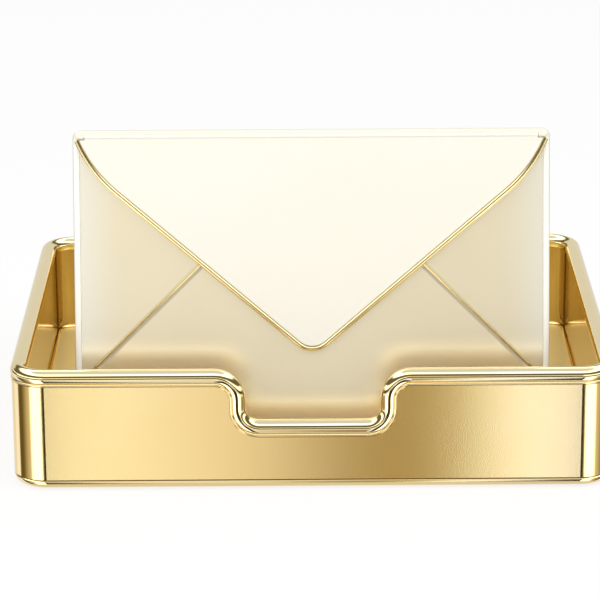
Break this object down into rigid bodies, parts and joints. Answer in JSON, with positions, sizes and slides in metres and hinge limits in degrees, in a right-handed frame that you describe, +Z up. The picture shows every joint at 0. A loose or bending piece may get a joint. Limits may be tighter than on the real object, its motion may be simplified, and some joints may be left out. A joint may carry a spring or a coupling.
{
  "type": "letter tray with envelope case",
  "caption": "Open rectangular letter tray with a rolled rim and finger notch; an envelope-shaped letter case with a hinged pointed flap stands in it.",
  "frame": {"origin": "centre of the tray's footprint on the surface that it rests on", "axes": "+X along the tray's long walls, to the right; the wall with the finger notch faces -Y; +Z up"},
  "size_m": [0.287, 0.224, 0.1599],
  "materials": {
    "polished_gold": "polished gold plating, softly satin",
    "gold_trim": "polished gold trim",
    "ivory_enamel": "satin ivory enamel",
    "champagne_enamel": "satin pearl champagne enamel",
    "cradle_felt": "short felt",
    "pad_felt": "dense felt",
    "spacer_plastic": "moulded",
    "screw_steel": "plated"
  },
  "bodies": {
    "tray": {"bottom_pan": "polished_gold", "outer_wall": "polished_gold", "inner_wall": "polished_gold", "rim_bead": "polished_gold", "rim_lip": "polished_gold", "tray_floor": "polished_gold", "floor_bead": "polished_gold", "floor_spacers": "spacer_plastic", "base_screws": "screw_steel", "front_left_pad": "pad_felt", "front_right_pad": "pad_felt", "back_left_pad": "pad_felt", "back_right_pad": "pad_felt", "cradle_bracket": "polished_gold", "cradle_rivets": "polished_gold", "cradle_seat_felt": "cradle_felt", "cradle_rest_felt": "cradle_felt"},
    "case": {"case_edge_frame": "ivory_enamel", "case_back_panel": "ivory_enamel", "case_front_board": "champagne_enamel", "case_bottom_panel": "champagne_enamel", "case_left_panel": "champagne_enamel", "case_right_panel": "champagne_enamel", "left_seam_trim": "gold_trim", "right_seam_trim": "gold_trim", "left_hinge_pin": "screw_steel", "right_hinge_pin": "screw_steel"},
    "flap": {"flap_panel": "ivory_enamel", "flap_edge_trim": "gold_trim"}
  },
  "joints": [
    {"name": "case_lift", "type": "slide", "parent": "tray", "child": "case", "axis": [0, 0.2079, 0.9781], "range_m": [0, 0.07]},
    {"name": "flap_hinge", "type": "hinge", "parent": "case", "child": "flap", "pos_m": [0, -0.0517, 0.15768], "axis": [-1, 0, 0], "range_deg": [0, 175]}
  ]
}
